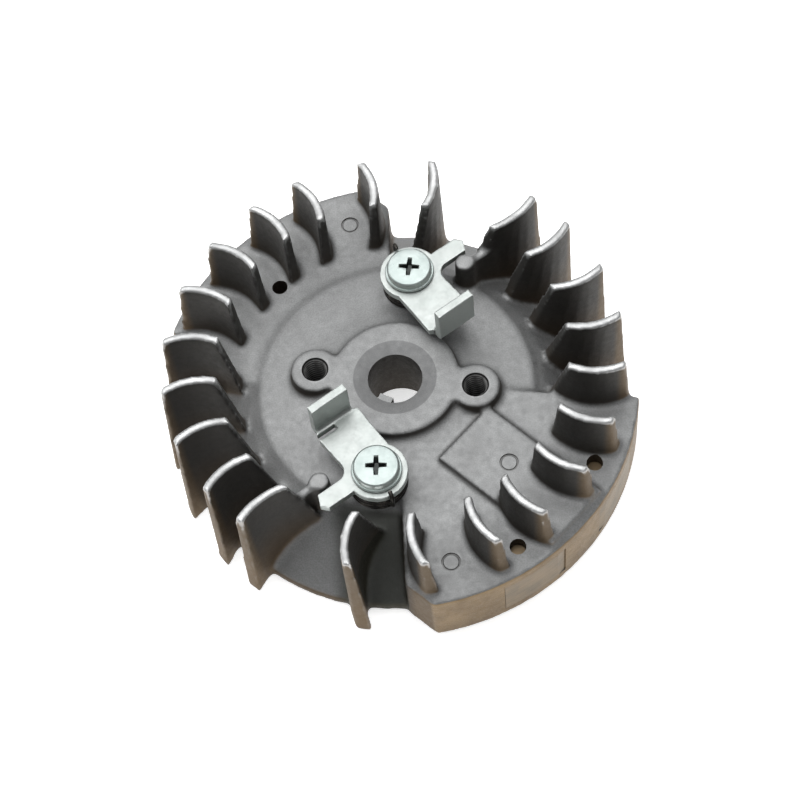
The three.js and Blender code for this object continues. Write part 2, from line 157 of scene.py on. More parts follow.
def polar(radius, angle):
    """The x and y of a point at a radius and an angle in degrees."""
    return radius * math.cos(math.radians(angle)), radius * math.sin(math.radians(angle))


def turn_about(piece, angle, centre=(0, 0)):
    """Turn a piece's mesh about an upright axis, by degrees."""
    shift = Matrix.Translation((centre[0] * MM, centre[1] * MM, 0))
    piece.data.transform(shift @ Matrix.Rotation(math.radians(angle), 4, "Z") @ shift.inverted())
    return piece


print("helpers ready; packed nodes:", len(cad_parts))

# %% [markdown]
# ### Modifiers
#
# Later cells count and move a piece's points, so a modifier has to be applied as soon as it is
# added. One helper does that, and the helpers for cutting, rebuilding and thinning use it.

# %% Modifiers that are applied at once


def bake_modifiers(piece):
    """Replace a piece's mesh with what its modifiers make of it."""
    graph = bpy.context.evaluated_depsgraph_get()
    made = bpy.data.meshes.new_from_object(piece.evaluated_get(graph), depsgraph=graph)
    old = piece.data
    piece.modifiers.clear()
    piece.data = made
    made.name = piece.name
    bpy.data.meshes.remove(old)
    return piece


def combine(piece, tools, operation="DIFFERENCE"):
    """Cut tools out of a piece, or add them to it, and throw the tools away."""
    for tool in tools:
        change = piece.modifiers.new("combine", "BOOLEAN")
        change.operation = operation
        change.solver = "MANIFOLD"
        change.object = tool
        bake_modifiers(piece)
        bpy.data.objects.remove(tool)
    return piece


def remesh(piece, voxel):
    """Rebuild a piece as one even skin, which merges all that overlaps in it."""
    change = piece.modifiers.new("remesh", "REMESH")
    change.mode = "VOXEL"
    change.voxel_size = voxel * MM
    return bake_modifiers(piece)


def thin_out(piece, most):
    """Bring a piece down to a number of triangles."""
    triangles = sum(len(face.vertices) - 2 for face in piece.data.polygons)
    if triangles > most:
        change = piece.modifiers.new("thin", "DECIMATE")
        change.ratio = most / triangles
        bake_modifiers(piece)
    print(piece.name, "went from", triangles, "to at most", most, "triangles")
    return piece


def join(piece, others):
    """Put other objects' meshes into a piece without cutting anything."""
    work = bmesh.new()
    work.from_mesh(piece.data)
    for other in others:
        work.from_mesh(other.data)
        bpy.data.objects.remove(other)
    work.to_mesh(piece.data)
    work.free()
    return piece


# %% [markdown]
# ## Softening corners
#
# Metal that fills a mould never has a sharp inside corner, and blasting wears the outside
# corners round. A plain smooth modifier treats both alike and would eat the thin blades. The
# helper below moves each point towards the middle of its neighbours, and looks at which side
# of the surface that middle lies. Points in a hollow move a lot, which grows a fillet there,
# and points on a ridge move a little.

# %% Soften a skin


def soften(piece, rounds, hollow, ridge):
    """Fill hollows by one share, and wear ridges by another, several times over."""
    mesh = piece.data
    count = len(mesh.vertices)
    ends = np.empty(len(mesh.edges) * 2, np.int32)
    mesh.edges.foreach_get("vertices", ends)
    first, second = ends.reshape(-1, 2).T
    here = np.concatenate((first, second))
    there = np.concatenate((second, first))
    neighbours = np.bincount(here, minlength=count)
    place = np.empty(count * 3, np.float32)
    mesh.vertices.foreach_get("co", place)
    place = place.reshape(-1, 3).astype(float)
    facing = np.empty(count * 3, np.float32)
    hollow_share = hollow(place / MM) if callable(hollow) else hollow
    for _ in range(rounds):
        mesh.vertex_normals.foreach_get("vector", facing)
        middle = np.stack([np.bincount(here, place[there, axis], count) for axis in range(3)], 1)
        move = middle / neighbours[:, None] - place
        outward = np.einsum("ij,ij->i", move, facing.reshape(-1, 3)) > 0
        place += move * np.where(outward, hollow_share, ridge)[:, None]
        mesh.vertices.foreach_set("co", place.astype(np.float32).ravel())
        mesh.update()
    return piece


# %% [markdown]
# ## The casting
#
# The wheel is one aluminium die casting. Its cast skin is soft everywhere, while the bore,
# the seat for the nut and the threaded holes were cut afterwards and stay crisp. So the
# cut places are first plugged, the whole wheel is rebuilt as one skin and softened, and only
# then are the same places cut again.

# %% Sizes of the places cut after casting
HUB_TOP = 17.4
SEAT_RADIUS = 8.2
SEAT_DEPTH = 0.7
BORE_TOP = 5.35
BORE_REAR = 6.8
KEY_ANGLE = -107
KEY_WIDTH = 2.8
KEY_RISE = 1.5
PULLER_RADIUS = 16
PIVOT_RADIUS = 22.2
SPRING_BOSS_TOP = 18.1
PAD_ANGLE = -33.5
PAD_TOP = 16
PAD_HALF_WIDTH = 7.4
PAD_INNER = 17.8
PAD_OUTER = 46.2
MAGNET_SECTOR_TOP = 14.7
WEIGHT_SECTOR_TOP = 13.1
STACK_LOW = 2.6
STACK_HIGH = 12.2
SHOE_HOLE = (42.8, 15.5)       # radius, and angle to either side of the pad
WEIGHT_HOLE = (34, 143)
WEIGHT_HOLE_LOW = 6
HOLE_RADIUS = 1.6
SHOE_PLUG_LOW = 10             # each plug starts a little below the foot of its hole
WEIGHT_PLUG_LOW = 5
PLUG_RADIUS = 2

magnet_nodes = [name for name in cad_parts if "pole" in name or "magnet" in name]
print("inserts cast into the wheel:", len(magnet_nodes))


def pin(name, radius, low, high, spot):
    """A plain upright rod."""
    return turned(name, [(radius, low), (radius, high)], 32, spot)


def deep_holes(shoe_low, weight_low):
    """Spot, foot and sector top of the two holes over the pole shoes and the counterweight's."""
    spots = [polar(SHOE_HOLE[0], PAD_ANGLE + side * SHOE_HOLE[1]) for side in (-1, 1)]
    holes = [(spot, shoe_low, MAGNET_SECTOR_TOP) for spot in spots]
    holes.append((polar(*WEIGHT_HOLE), weight_low, WEIGHT_SECTOR_TOP))
    return holes


def rough_casting():
    """The cast wheel before any machining, with every cut place plugged."""
    wheel = copy_of("flywheel_casting", name="wheel_casting")
    plugs = [copy_of(*magnet_nodes, name="inserts")]
    plugs.append(turned("bore_plug", [(BORE_REAR + 0.6, 0), (SEAT_RADIUS + 1, HUB_TOP)], 48))
    for side in (-1, 1):
        plugs.append(pin("puller_plug", 3.2, 0.5, HUB_TOP, (side * PULLER_RADIUS, 0)))
        plugs.append(pin("screw_plug", 2.9, 4, SPRING_BOSS_TOP, (0, side * PIVOT_RADIUS)))
    for spot, low, top in deep_holes(SHOE_PLUG_LOW, WEIGHT_PLUG_LOW):
        plugs.append(pin("pin_plug", PLUG_RADIUS, low, top, spot))
    join(wheel, plugs)
    remesh(wheel, VOXEL)
    print("skin has", len(wheel.data.polygons), "faces after the remesh")
    return wheel


def fillet_share(place):
    """Grow full fillets except at the step round the raised pad, which is crisper."""
    turn = math.radians(PAD_ANGLE)
    along = place[:, 0] * math.cos(turn) + place[:, 1] * math.sin(turn)
    across = place[:, 1] * math.cos(turn) - place[:, 0] * math.sin(turn)
    side_gap = np.abs(np.abs(across) - PAD_HALF_WIDTH)
    side_gap = np.where((along > PAD_INNER - 1) & (along < PAD_OUTER), side_gap, FAR)
    end_gap = np.where(np.abs(across) < PAD_HALF_WIDTH + 1, np.abs(along - PAD_INNER), FAR)
    near = np.minimum(side_gap, end_gap) < 1.1
    near &= (place[:, 2] > STEP_LOW) & (place[:, 2] < STEP_HIGH)
    return np.where(near, 0.18, 0.5)


VOXEL = 0.42
STEP_LOW = 13.6
STEP_HIGH = 16.6
FAR = 9
SOFTEN_ROUNDS = 22
RIDGE_SHARE = 0.16
casting = rough_casting()
soften(casting, SOFTEN_ROUNDS, fillet_share, RIDGE_SHARE)
print("softened casting box:", [round(v / MM, 2) for v in casting.dimensions])

# %% [markdown]
# ### Bore and seat
#
# The wheel sits on a tapered shaft, and a key in the bore keeps it in time with the engine. A
# taper reamer would leave no key, so the tool is made like a form cutter: a tapered rod with a
# slot in it. What the slot spares is the key.

# %% Cut the bore, its key and the seat of the nut


def bore_tool():
    """A tapered reamer, less a slot that leaves the key standing, and a coned seat."""
    slope = (BORE_REAR - BORE_TOP) / HUB_TOP
    reamer = turned("reamer", [(BORE_REAR + slope, -1), (BORE_TOP - slope, HUB_TOP + 1)])
    inner, outer, half = BORE_TOP - KEY_RISE, BORE_REAR + 2, KEY_WIDTH / 2
    key = slab("key", [(inner, -half), (outer, -half), (outer, half), (inner, half)], -2,
               HUB_TOP - SEAT_DEPTH - 0.5)
    combine(reamer, [turn_about(key, KEY_ANGLE)])
    seat = turned("seat", [(BORE_TOP, HUB_TOP - SEAT_DEPTH), (SEAT_RADIUS, HUB_TOP),
                           (SEAT_RADIUS, HUB_TOP + 1)])
    return combine(reamer, [seat], "UNION")


combine(casting, [bore_tool()])
print("bore cut, faces now", len(casting.data.polygons))

# %% [markdown]
# ### Threads
#
# The two holes beside the hub take a puller, so they are tapped M5. A tap is made here as a
# rod whose radius rises and falls along a helix. Cutting it out of the casting leaves the
# thread in the wall of the hole, where a bump in the material would stay a smooth cylinder.
# The cut itself waits until the skin has been thinned, which would spoil the turns.

# %% Make a tap for the puller holes
THREAD_PITCH = 0.8
THREAD_CREST = 2.62
THREAD_ROOT = 2.12


def tap(spot, low, high, steps=36, per_turn=8):
    """A threaded rod with a plain lead-in at the top."""
    rows = int((high - low) / THREAD_PITCH * per_turn)
    rings = []
    for row in range(rows + 1):
        z = low + (high - low) * row / rows
        ring = []
        for i in range(steps):
            phase = (z / THREAD_PITCH - i / steps) % 1
            radius = THREAD_ROOT + (THREAD_CREST - THREAD_ROOT) * (1 - abs(2 * phase - 1))
            angle = 2 * math.pi * i / steps
            ring.append((spot[0] + radius * math.cos(angle), spot[1] + radius * math.sin(angle), z))
        rings.append(ring)
    return loft("tap", rings)


def tap_puller_holes():
    """Thread both holes and break the edge where each thread starts."""
    for side in (-1, 1):
        spot = (side * PULLER_RADIUS, 0)
        lead = turned("lead", [(THREAD_ROOT, HUB_TOP - 0.5), (THREAD_CREST + 0.2, HUB_TOP + 0.1)],
                      40, spot)
        combine(casting, [tap(spot, -1, HUB_TOP + 1), lead])
    print("two holes tapped, pitch", THREAD_PITCH)


print("tap ready, pitch", THREAD_PITCH)

# %% [markdown]
# ### Pocket for the magnet
#
# On the real wheel the magnet and its two pole shoes are laid in the mould and the metal is
# cast round them. Here the order is turned round: the skin was made without a pocket, so it is
# cut now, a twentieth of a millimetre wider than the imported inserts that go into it.

# %% Cut the pocket for the magnet and its pole shoes
RIM_RADIUS = 48
MAGNET_HALF_WIDTH = 5
MAGNET_INNER = 33.5
MAGNET_OUTER = 44
SHOE_FROM = 8.5
SHOE_TO = 23
SHOE_DEPTH = 5.2
POCKET_GAP = 0.05


def shoe_room(side):
    """The room of one stack of pole laminations, drawn with the pad along X."""
    edge = MAGNET_HALF_WIDTH + 0.15 - POCKET_GAP
    outline = [(RIM_RADIUS - SHOE_DEPTH - 4 - POCKET_GAP, edge), (RIM_RADIUS + 1, edge)]
    for i in range(7):
        outline.append(polar(RIM_RADIUS + 1, SHOE_FROM + (SHOE_TO + 0.1 - SHOE_FROM) * i / 6))
    outline.append(polar(RIM_RADIUS - SHOE_DEPTH - POCKET_GAP, SHOE_TO + 0.1))
    outline = [(x, side * y) for x, y in outline]
    if side < 0:
        outline.reverse()
    room = slab("shoe_room", outline, STACK_LOW - POCKET_GAP, STACK_HIGH + POCKET_GAP)
    return turn_about(room, PAD_ANGLE)


half = MAGNET_HALF_WIDTH + 0.2
magnet_room = slab("magnet_room", [
    (MAGNET_INNER - POCKET_GAP, -half), (MAGNET_OUTER + POCKET_GAP, -half),
    (MAGNET_OUTER + POCKET_GAP, half), (MAGNET_INNER - POCKET_GAP, half),
], STACK_LOW - POCKET_GAP, STACK_HIGH + POCKET_GAP)
turn_about(magnet_room, PAD_ANGLE)
for room in (magnet_room, shoe_room(-1), shoe_room(1)):
    combine(casting, [room])
print("pocket cut, faces now", len(casting.data.polygons))

# %% [markdown]
# ### Locating holes, screw holes and ejector marks
#
# Pins in the mould held the pole shoes in place and left two deep holes over them. Ejector pins
# pushed the hot casting out and left shallow rings. Fine cuts come last, after the skin has
# been thinned, because thinning would blur them.

# %% Cut the remaining holes and the ejector marks
EJECTOR_RADIUS = 1.9
EJECTOR_DEPTH = 0.3
EJECTOR_MARKS = [(39.9, 112.3, WEIGHT_SECTOR_TOP), (28.9, -32.3, PAD_TOP),
                 (40.1, -66.6, MAGNET_SECTOR_TOP)]
HOLE_TOOL_TOP = 22
CASTING_TRIANGLES = 162000

for spot, low, _ in deep_holes(STACK_HIGH, WEIGHT_HOLE_LOW):
    combine(casting, [pin("hole", HOLE_RADIUS, low, HOLE_TOOL_TOP, spot)])
for side in (-1, 1):
    shank = pin("shank", 2.5, 5, SPRING_BOSS_TOP + 1, (0, side * PIVOT_RADIUS))
    combine(casting, [shank])
thin_out(casting, CASTING_TRIANGLES)
for radius, angle, height in EJECTOR_MARKS:
    low = height - EJECTOR_DEPTH
    mark = turned("mark", [
        (EJECTOR_RADIUS * 0.3, low + 0.15), (EJECTOR_RADIUS - 0.5, low + 0.15),
        (EJECTOR_RADIUS - 0.35, low), (EJECTOR_RADIUS - 0.05, low),
        (EJECTOR_RADIUS, height + 0.6)], 40, polar(radius, angle))
    combine(casting, [mark])
tap_puller_holes()
print("casting has", len(casting.data.polygons), "faces")

# %% [markdown]
# ### Where the edges are
#
# Handling polishes a casting's ridges, and its corners get painted shade. The shader can't tell a
# ridge from a flat by itself, so each point gets a number: how strongly the skin bends there,
# positive on a ridge and negative in a corner. It is the height of a point above its
# neighbours, seen along its own normal, divided by the distance squared.

# %% Measure the bend of a skin


def mark_bend(piece, blend_rounds=2):
    """Store how much the surface bends at each point, in bends per millimetre."""
    mesh = piece.data
    count = len(mesh.vertices)
    ends = np.empty(len(mesh.edges) * 2, np.int32)
    mesh.edges.foreach_get("vertices", ends)
    first, second = ends.reshape(-1, 2).T
    here = np.concatenate((first, second))
    there = np.concatenate((second, first))
    neighbours = np.maximum(np.bincount(here, minlength=count), 1)
    place = np.empty(count * 3, np.float32)
    mesh.vertices.foreach_get("co", place)
    place = place.reshape(-1, 3).astype(float) / MM
    facing = np.empty(count * 3, np.float32)
    mesh.vertex_normals.foreach_get("vector", facing)
    facing = facing.reshape(-1, 3).astype(float)
    step = place[here] - place[there]
    rise = 2 * np.einsum("ij,ij->i", step, facing[here])
    length = np.maximum(np.einsum("ij,ij->i", step, step), 0.01)
    bend = np.bincount(here, rise / length, count) / neighbours
    for _ in range(blend_rounds):
        bend = 0.5 * bend + 0.5 * np.bincount(here, bend[there], count) / neighbours
    layer = mesh.attributes.new("bend", "FLOAT", "POINT")
    layer.data.foreach_set("value", np.clip(bend, -4, 4).astype(np.float32))
    print(piece.name, "bends from", round(float(bend.min()), 2), "to", round(float(bend.max()), 2))
    return piece


def shade(piece, angle=40):
    """Shade a piece smooth, apart from edges sharper than an angle in degrees."""
    piece.data.shade_smooth()
    piece.data.set_sharp_from_angle(angle=math.radians(angle))
    return piece


mark_bend(casting)
shade(casting)
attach(casting, "wheel")
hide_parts("flywheel_casting")

# %% [markdown]
# ## Starter pawls
#
# Each pawl is punched from 1.7 mm sheet and bent up at one end, so one face of every cut edge
# is rolled over a little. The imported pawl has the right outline, and its sharp inner bend gets
# a radius first. Rebuilding it as a fine skin and softening that rolls all its edges at once.

# %% Roll the edges of the pawls
FINE_VOXEL = 0.13
PAWL_TRIANGLES = 26000
PAWL_ANGLE = -45.3
PAWL_TOP = 20.7
LUG_INNER = 14.16
LUG_LEFT = -4.1
LUG_RIGHT = 4.3
BEND_RADIUS = 0.9


def bend_fill(number):
    """The metal inside the bend, which keeps a radius where the lug was folded up."""
    outline = [(LUG_INNER + 0.3, PAWL_TOP - 0.3), (LUG_INNER + 0.3, PAWL_TOP + BEND_RADIUS)]
    for i in range(9):
        x, z = polar(BEND_RADIUS, -90 * i / 8)
        outline.append((LUG_INNER - BEND_RADIUS + x, PAWL_TOP + BEND_RADIUS + z))
    outline.append((LUG_INNER - BEND_RADIUS, PAWL_TOP - 0.3))
    fill = loft("bend_fill", [[(x, y, z) for x, z in outline] for y in (LUG_LEFT, LUG_RIGHT)])
    turn_about(fill, PAWL_ANGLE)
    fill.data.transform(Matrix.Translation((0, PIVOT_RADIUS * MM, 0)))
    return turn_about(fill, 0 if number == 1 else 180)


def pawl(number):
    """One pawl with rolled edges, riding on its own body."""
    piece = copy_of(f"starter_pawl_{number}", name=f"pawl_plate_{number}")
    join(piece, [bend_fill(number)])
    remesh(piece, FINE_VOXEL)
    soften(piece, 5, 0.5, 0.35)
    thin_out(piece, PAWL_TRIANGLES)
    mark_bend(piece)
    shade(piece)
    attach(piece, f"pawl_{number}")
    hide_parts(f"starter_pawl_{number}")
    return piece


pawls = [pawl(number) for number in (1, 2)]

# %% [markdown]
# ## Shoulder screws
#
# A shoulder screw holds each pawl down without pinching it: the shoulder bottoms on the cast
# boss, and the head stays just above the plate. The head is turned, with a small flange at its
# foot and a slight dome, and its cross recess is punched, so the wings narrow downwards.

# %% Turn the screws and punch the recess
HEAD_RADIUS = 4.9
HEAD_LOW = 20.9
HEAD_HIGH = 23
FLANGE_RISE = 0.45
SHOULDER_RADIUS = 3
SHANK_RADIUS = 2.3
SHANK_TIP = 6
WING_LENGTH = 2.15
WING_WIDTH = 0.42
RECESS_DEPTH = 1.6


def cross_recess(spot, turn):
    """A punch with four wings that narrow downwards."""
    rings = []
    for z, share in ((HEAD_HIGH - RECESS_DEPTH, 0.55), (HEAD_HIGH + 0.5, 1.1)):
        reach, width = WING_LENGTH * share, WING_WIDTH * (0.5 + 0.5 * share)
        corner = [(reach, -width), (reach, width), (width * 1.3, width * 1.3)]
        ring = []
        for quarter in range(4):
            angle = math.radians(turn + 90 * quarter)
            for x, y in corner:
                ring.append((spot[0] + x * math.cos(angle) - y * math.sin(angle),
                             spot[1] + x * math.sin(angle) + y * math.cos(angle), z))
        rings.append(ring)
    return loft("punch", rings)


def screw(number, spot):
    """One shoulder screw with its head."""
    piece = turned(f"shoulder_screw_{number}", [
        (SHANK_RADIUS - 0.4, SHANK_TIP), (SHANK_RADIUS, SHANK_TIP + 0.5),
        (SHANK_RADIUS, SPRING_BOSS_TOP + 0.1), (SHOULDER_RADIUS, SPRING_BOSS_TOP + 0.1),
        (SHOULDER_RADIUS, HEAD_LOW), (HEAD_RADIUS - 0.12, HEAD_LOW), (HEAD_RADIUS, HEAD_LOW + 0.12),
        (HEAD_RADIUS, HEAD_LOW + FLANGE_RISE), (HEAD_RADIUS - 0.15, HEAD_LOW + FLANGE_RISE + 0.12),
        (HEAD_RADIUS - 0.42, HEAD_LOW + FLANGE_RISE + 0.08),
        (HEAD_RADIUS - 0.4, HEAD_HIGH - 0.5), (HEAD_RADIUS - 0.48, HEAD_HIGH - 0.32),
        (HEAD_RADIUS - 0.72, HEAD_HIGH - 0.12), (HEAD_RADIUS - 0.85, HEAD_HIGH - 0.09),
        (HEAD_RADIUS * 0.55, HEAD_HIGH - 0.02), (HEAD_RADIUS * 0.3, HEAD_HIGH),
    ], ROUND, spot)
    combine(piece, [cross_recess(spot, SCREW_TURNS[number])])
    change = piece.modifiers.new("bevel", "BEVEL")
    change.width = 0.07 * MM
    change.segments = 2
    change.limit_method = "ANGLE"
    change.angle_limit = math.radians(35)
    bake_modifiers(piece)
    shade(piece, 30)
    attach(piece, "wheel")
    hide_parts(f"pawl_screw_{number}")
    print(piece.name, "has", len(piece.data.polygons), "faces")
    return piece


SCREW_TURNS = {1: 2, 2: 8}
SPOTS = {1: (0, PIVOT_RADIUS), 2: (0, -PIVOT_RADIUS)}
screws = [screw(number, SPOTS[number]) for number in (1, 2)]

# %% [markdown]
# ## Washers and springs
#
# A thin washer lies between the boss and the plate. The spring is wound from round wire: a
# little over two turns round the boss, a straight leg at the foot, and an end that rises and
# hooks behind the pawl. A curve with a round bevel is the natural tool for wire, because its
# thickness stays the same through every bend.

# %% Make the washers and wind the springs
WASHER_INNER = 3.4
WASHER_OUTER = 5.1
WASHER_LOW = 18.3
WASHER_HIGH = 18.8
COIL_RADIUS = 5.3
WIRE_RADIUS = 0.42
COIL_LOW = 15.2
COIL_TURNS = 2
COIL_RISE = 2.58
COIL_STEPS = 120
HOOK_ANGLE = 112
LEG = (6.2, 4.2, 2.1)
# each point of the hook, from the coil's end: outwards, onwards and up
HOOK = [(0.3, 0.8, 0), (1, 1.3, 0), (1.45, 1.4, 0.5), (1.55, 1.4, 2.2), (1.5, 1.4, 3.3),
        (1.25, 1.4, 3.75), (0.7, 1.35, 3.85), (0.2, 1.3, 3.8)]


def washer(number, spot):
    """A flat ring with broken edges."""
    piece = turned(f"plain_washer_{number}", [
        (WASHER_OUTER - 0.08, WASHER_LOW), (WASHER_OUTER, WASHER_LOW + 0.08),
        (WASHER_OUTER, WASHER_HIGH - 0.08), (WASHER_OUTER - 0.08, WASHER_HIGH)], 64, spot)
    combine(piece, [turned("hole", [(WASHER_INNER, WASHER_LOW - 1), (WASHER_INNER, WASHER_HIGH + 1)],
                           64, spot)])
    shade(piece, 30)
    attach(piece, "wheel")
    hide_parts(f"pawl_washer_{number}")
    return piece


def spring(number, spot):
    """A torsion spring: a straight leg, the turns, and a hook behind the pawl."""
    points = [(COIL_RADIUS, -leg, COIL_LOW) for leg in LEG]
    for i in range(COIL_STEPS + 1):
        angle = math.radians(i / COIL_STEPS * (360 * COIL_TURNS + HOOK_ANGLE))
        points.append((COIL_RADIUS * math.cos(angle), COIL_RADIUS * math.sin(angle),
                       COIL_LOW + COIL_RISE * i / COIL_STEPS))
    last = math.radians(HOOK_ANGLE)
    outward = Vector((math.cos(last), math.sin(last), 0))
    onward = Vector((-math.sin(last), math.cos(last), 0))
    end = Vector(points[-1])
    for out, on, up in HOOK:
        points.append(end + outward * out + onward * on + Vector((0, 0, up)))
    path = bpy.data.curves.new("wire", "CURVE")
    path.dimensions = "3D"
    path.bevel_depth = WIRE_RADIUS * MM
    path.bevel_resolution = 3
    path.use_fill_caps = True
    line = path.splines.new("POLY")
    line.points.add(len(points) - 1)
    half_turn = 1 if number == 1 else -1
    for point, (x, y, z) in zip(line.points, points):
        point.co = ((spot[0] + half_turn * x) * MM, (spot[1] + half_turn * y) * MM, z * MM, 1)
    wire = bpy.data.objects.new("wire", path)
    bpy.context.collection.objects.link(wire)
    graph = bpy.context.evaluated_depsgraph_get()
    mesh = bpy.data.meshes.new_from_object(wire.evaluated_get(graph), depsgraph=graph)
    bpy.data.objects.remove(wire)
    piece = bpy.data.objects.new(f"torsion_spring_{number}", mesh)
    bpy.context.collection.objects.link(piece)
    shade(piece, 50)
    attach(piece, "wheel")
    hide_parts(f"pawl_spring_{number}")
    print(piece.name, "is", round(sum((Vector(a) - Vector(b)).length
          for a, b in zip(points, points[1:])), 1), "mm of wire")
    return piece


washers = [washer(number, SPOTS[number]) for number in (1, 2)]
springs = [spring(number, SPOTS[number]) for number in (1, 2)]

# %% [markdown]
# ## Shader building blocks
#
# Finishes are built from a few effects that several of them share: the grain a mould leaves,
# bright worn ridges with painted shade in the corners, upright faces for painted shade, patches
# of old oil and the fine lines of a lathe tool. Each effect is a node group that gives only a
# mask or a height. The materials below mix them with their own colours.

# %% Helpers for node trees


def tone(red, green, blue):
    """A colour named by its screen values, as the shader wants it."""
    return tuple(((v / 255 + 0.055) / 1.055) ** 2.4 for v in (red, green, blue)) + (1,)


def add(tree, kind, inputs=None, **settings):
    """Add a node, set its options, and link or fill its inputs."""
    made = tree.nodes.new(kind)
    for key, value in settings.items():
        setattr(made, key, value)
    for key, value in (inputs or {}).items():
        if isinstance(value, bpy.types.NodeSocket):
            tree.links.new(value, made.inputs[key])
        else:
            made.inputs[key].default_value = value
    return made


def math_node(tree, operation, first, second=0.0, third=0.0):
    """One step of arithmetic."""
    return add(tree, "ShaderNodeMath", {0: first, 1: second, 2: third}, operation=operation).outputs[0]


def ramp(tree, value, low, high, to_low=0.0, to_high=1.0):
    """Turn a range of values into another with soft ends."""
    return add(tree, "ShaderNodeMapRange", {
        "Value": value, "From Min": low, "From Max": high, "To Min": to_low, "To Max": to_high,
    }, interpolation_type="SMOOTHSTEP").outputs["Result"]


def mix(tree, share, first, second):
    """Mix two colours."""
    made = add(tree, "ShaderNodeMix", data_type="RGBA")
    for key, value in ((0, share), (6, first), (7, second)):
        if isinstance(value, bpy.types.NodeSocket):
            tree.links.new(value, made.inputs[key])
        else:
            made.inputs[key].default_value = value
    return made.outputs[2]


def group(name, inputs, outputs):
    """Start a node group with number inputs and number outputs."""
    tree = bpy.data.node_groups.new(name, "ShaderNodeTree")
    for label, value in inputs.items():
        socket = tree.interface.new_socket(label, in_out="INPUT", socket_type="NodeSocketFloat")
        socket.default_value = value
    for label in outputs:
        tree.interface.new_socket(label, in_out="OUTPUT", socket_type="NodeSocketFloat")
    start = tree.nodes.new("NodeGroupInput").outputs
    end = tree.nodes.new("NodeGroupOutput").inputs
    return tree, start, end


def use(tree, effect, **inputs):
    """Place an effect in a material and return its outputs."""
    made = tree.nodes.new("ShaderNodeGroup")
    made.node_tree = effect
    for label, value in inputs.items():
        socket = made.inputs[label.replace("_", " ")]
        if isinstance(value, bpy.types.NodeSocket):
            tree.links.new(value, socket)
        else:
            socket.default_value = value
    return made.outputs


def noise(tree, place, scale, detail=2.0, roughness=0.5):
    """A cloud pattern over the object."""
    return add(tree, "ShaderNodeTexNoise", {
        "Vector": place, "Scale": scale, "Detail": detail, "Roughness": roughness,
    }).outputs["Fac"]


print("node helpers ready")

# %% Mould grain, patches and lathe lines
PER_METRE = 1 / MM


def make_grain():
    """Fine pits and swells, with a grain size in millimetres."""
    tree, start, end = group("mould grain", {"Grain Size": 0.3}, ["Height", "Speckle"])
    place = add(tree, "ShaderNodeTexCoord").outputs["Object"]
    scale = math_node(tree, "DIVIDE", PER_METRE, start["Grain Size"])
    fine = noise(tree, place, scale, 3, 0.6)
    coarse = noise(tree, place, math_node(tree, "MULTIPLY", scale, 0.22), 2)
    height = math_node(tree, "ADD", math_node(tree, "MULTIPLY", fine, 0.6),
                       math_node(tree, "MULTIPLY", coarse, 0.4))
    tree.links.new(height, end["Height"])
    tree.links.new(ramp(tree, fine, 0.3, 0.7), end["Speckle"])
    return tree


def make_patches():
    """Blotches with a size in millimetres; Cover says how much they take up."""
    tree, start, end = group("patches", {"Patch Size": 6, "Cover": 0.5, "Edge": 0.15}, ["Mask"])
    place = add(tree, "ShaderNodeTexCoord").outputs["Object"]
    scale = math_node(tree, "DIVIDE", PER_METRE, start["Patch Size"])
    cloud = noise(tree, place, scale, 4, 0.6)
    middle = math_node(tree, "SUBTRACT", 1, start["Cover"])
    low = math_node(tree, "SUBTRACT", middle, start["Edge"])
    high = math_node(tree, "ADD", middle, start["Edge"])
    tree.links.new(ramp(tree, cloud, low, high), end["Mask"])
    return tree


def make_lathe_lines():
    """Tool lines round the wheel's axis, or along it where Flat is 1."""
    tree, start, end = group("lathe lines", {"Spacing": 0.3, "Flat": 0}, ["Height", "Mask"])
    place = add(tree, "ShaderNodeTexCoord").outputs["Object"]
    parts = add(tree, "ShaderNodeSeparateXYZ", {0: place}).outputs
    across = math_node(tree, "SQRT", math_node(
        tree, "ADD", math_node(tree, "POWER", parts["X"], 2), math_node(tree, "POWER", parts["Y"], 2)))
    along = math_node(tree, "MULTIPLY", parts["Z"], math_node(tree, "SUBTRACT", 1, start["Flat"]))
    distance = math_node(tree, "MULTIPLY_ADD", across, start["Flat"], along)
    distance = math_node(tree, "MULTIPLY", distance, PER_METRE)
    turns = math_node(tree, "DIVIDE", distance, start["Spacing"])
    line = add(tree, "ShaderNodeTexNoise", {"W": turns, "Scale": 1.0, "Detail": 2.0},
               noise_dimensions="1D").outputs["Fac"]
    tree.links.new(line, end["Height"])
    tree.links.new(ramp(tree, line, 0.35, 0.65), end["Mask"])
    return tree


grain, patches, lathe_lines = make_grain(), make_patches(), make_lathe_lines()
print("effects:", grain.name, patches.name, lathe_lines.name)

# %% [markdown]
# ### Wear and lean
#
# Two more effects look at the shape. One reads the bend that was stored at each point and turns
# it into polished ridges and corners for painted shade. The other finds faces that stand
# upright, which get painted shade on the casting and a painted reflection on the plated parts.

# %% Worn ridges, painted corner shade and upright faces


def make_wear_and_corner_shade():
    """Ridges that hands have polished, and corners that get painted shade."""
    tree, start, end = group("wear", {"Ridge From": 0.2, "Ridge Full": 0.7, "Breakup": 0.4},
                             ["Ridge", "Hollow Shade"])
    bend = add(tree, "ShaderNodeAttribute", attribute_name="bend").outputs["Fac"]
    place = add(tree, "ShaderNodeTexCoord").outputs["Object"]
    cloud = noise(tree, place, 0.6 * PER_METRE, 3, 0.6)
    uneven = math_node(tree, "MULTIPLY", math_node(tree, "SUBTRACT", cloud, 0.5), start["Breakup"])
    bent = math_node(tree, "ADD", bend, uneven)
    tree.links.new(ramp(tree, bent, start["Ridge From"], start["Ridge Full"]), end["Ridge"])
    # hollows, where the shader paints shade
    tree.links.new(ramp(tree, math_node(tree, "MULTIPLY", bend, -1), 0.15, 0.7), end["Hollow Shade"])
    return tree


